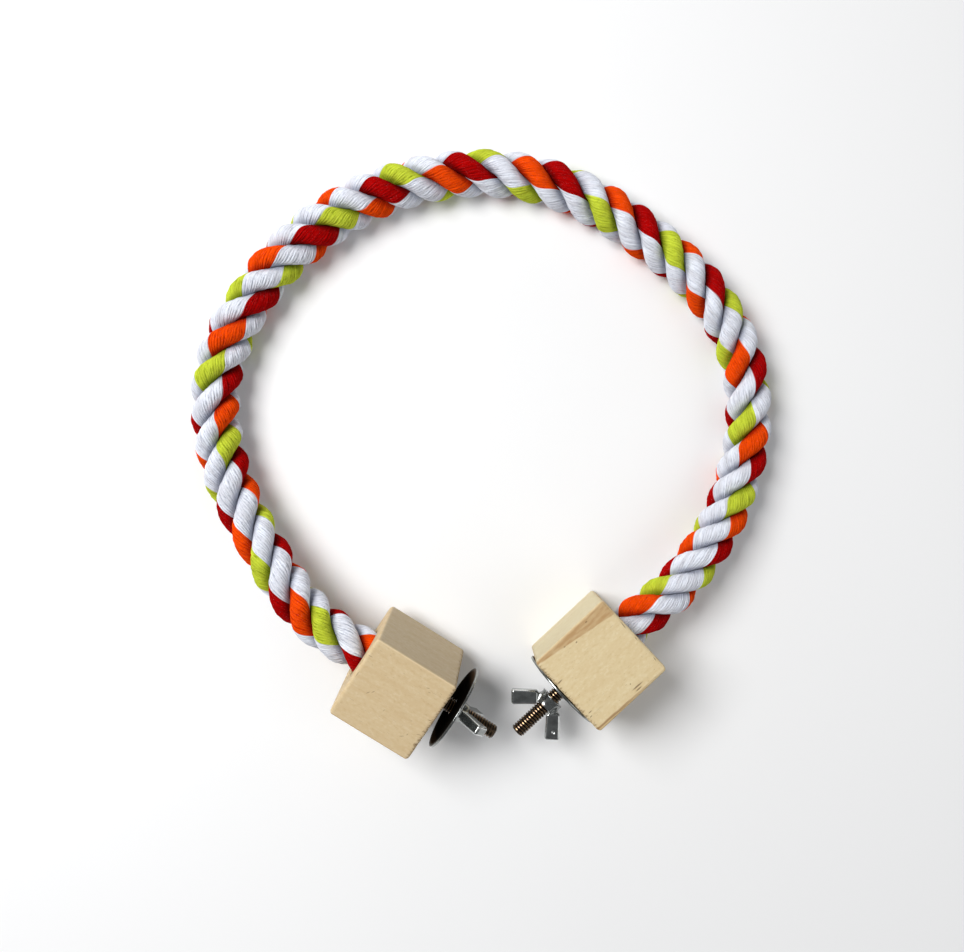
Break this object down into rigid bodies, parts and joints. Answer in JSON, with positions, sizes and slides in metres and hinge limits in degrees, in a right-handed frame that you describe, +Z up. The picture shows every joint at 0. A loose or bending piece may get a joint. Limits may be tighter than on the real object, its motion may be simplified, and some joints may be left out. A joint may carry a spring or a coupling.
{
  "type": "bolt-on rope ring perch",
  "caption": "Open ring of three-strand cotton rope with pine end blocks; bolts with fender washers and wing nuts clamp it to cage bars as a bird's swing and perch.",
  "frame": {"origin": "middle of the ring's bounding box, on the surface that it lies on", "axes": "+Z up from the surface, -Y towards the two blocks, +X to the right seen from above"},
  "size_m": [0.2551, 0.261, 0.0492],
  "materials": {
    "cotton_rope": "soft twisted cotton, red, orange and lime yarns with white",
    "tape": "plain cloth tape",
    "pine": "bare planed pine",
    "yellow_zinc": "yellow zinc plate on rolled thread",
    "clear_zinc": "bright zinc plate"
  },
  "bodies": {
    "ring": {"rope": "cotton_rope", "left_end_tape": "tape", "right_end_tape": "tape", "left_block": "pine", "right_block": "pine", "left_hanger_bolt": "yellow_zinc", "right_hanger_bolt": "yellow_zinc"},
    "left_washer": {"left_washer": "clear_zinc"},
    "left_wing_nut": {"left_wing_nut": "clear_zinc"},
    "right_washer": {"right_washer": "clear_zinc"},
    "right_wing_nut": {"right_wing_nut": "clear_zinc"}
  },
  "joints": [
    {"name": "left_nut_travel", "type": "slide", "parent": "ring", "child": "left_washer", "axis": [0.8413, -0.536, -0.0698], "range_m": [-0.00509, 0.01017]},
    {"name": "left_nut_turn", "type": "hinge", "parent": "left_washer", "child": "left_wing_nut", "pos_m": [-0.01088, -0.11369, 0.02272], "axis": [0.8413, -0.536, -0.0698], "range_deg": [-1440, 2880]},
    {"name": "right_nut_turn", "type": "hinge", "parent": "ring", "child": "right_washer", "pos_m": [0.03102, -0.10972, 0.01965], "axis": [-0.7314, -0.682, 0], "range_deg": [-1260, 2880]},
    {"name": "right_nut_travel", "type": "slide", "parent": "right_washer", "child": "right_wing_nut", "axis": [-0.7314, -0.682, 0], "range_m": [-0.00446, 0.01017]}
  ],
  "couplings": [
    {"joint": "left_nut_travel", "follows": "left_nut_turn", "m_per_rad": 0.00020213},
    {"joint": "right_nut_travel", "follows": "right_nut_turn", "m_per_rad": 0.00020213}
  ]
}
